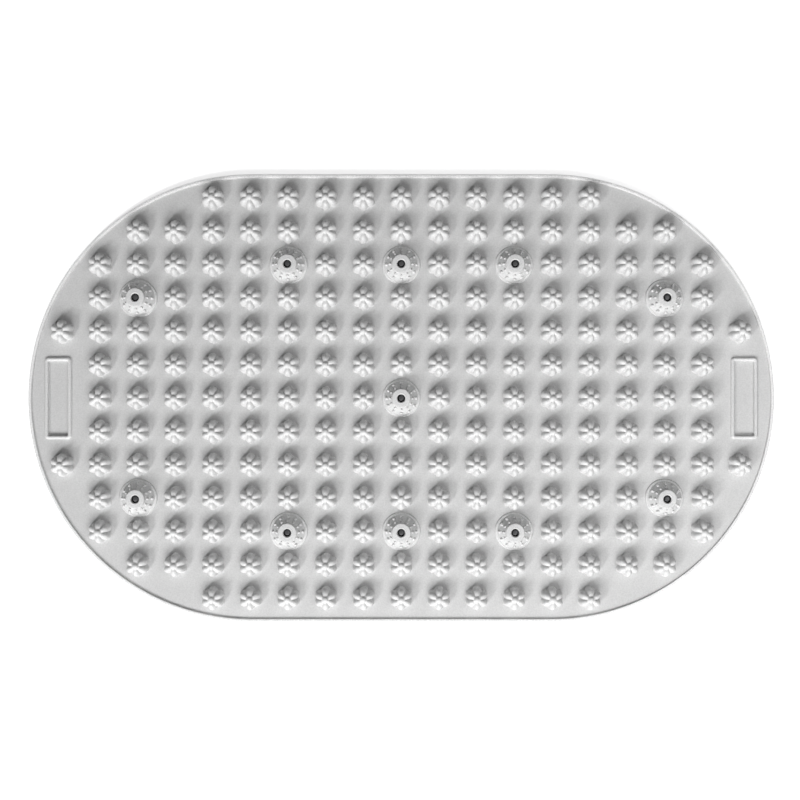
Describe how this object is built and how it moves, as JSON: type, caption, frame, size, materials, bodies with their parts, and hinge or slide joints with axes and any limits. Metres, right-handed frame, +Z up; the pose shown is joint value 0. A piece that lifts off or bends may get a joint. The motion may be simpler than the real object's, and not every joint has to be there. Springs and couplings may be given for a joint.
{
  "type": "foot massage mat",
  "caption": "Soft silicone foot massage mat with rounded ends, a raised rim, a grid of small lobed nubs, larger round studs with magnets in their tops, and bare framed end panels.",
  "frame": {"origin": "on the floor, under the middle of the mat", "axes": "+X along the mat's length, +Y across it toward the top of the picture, +Z up out of the nubs"},
  "size_m": [0.5, 0.3, 0.013],
  "materials": {
    "silicone": "satin",
    "ferrite": "satin"
  },
  "bodies": {
    "root": {"mat_body": "silicone", "magnet_01": "ferrite", "magnet_02": "ferrite", "magnet_03": "ferrite", "magnet_04": "ferrite", "magnet_05": "ferrite", "magnet_06": "ferrite", "magnet_07": "ferrite", "magnet_08": "ferrite", "magnet_09": "ferrite", "magnet_10": "ferrite", "magnet_11": "ferrite"}
  },
  "joints": []
}
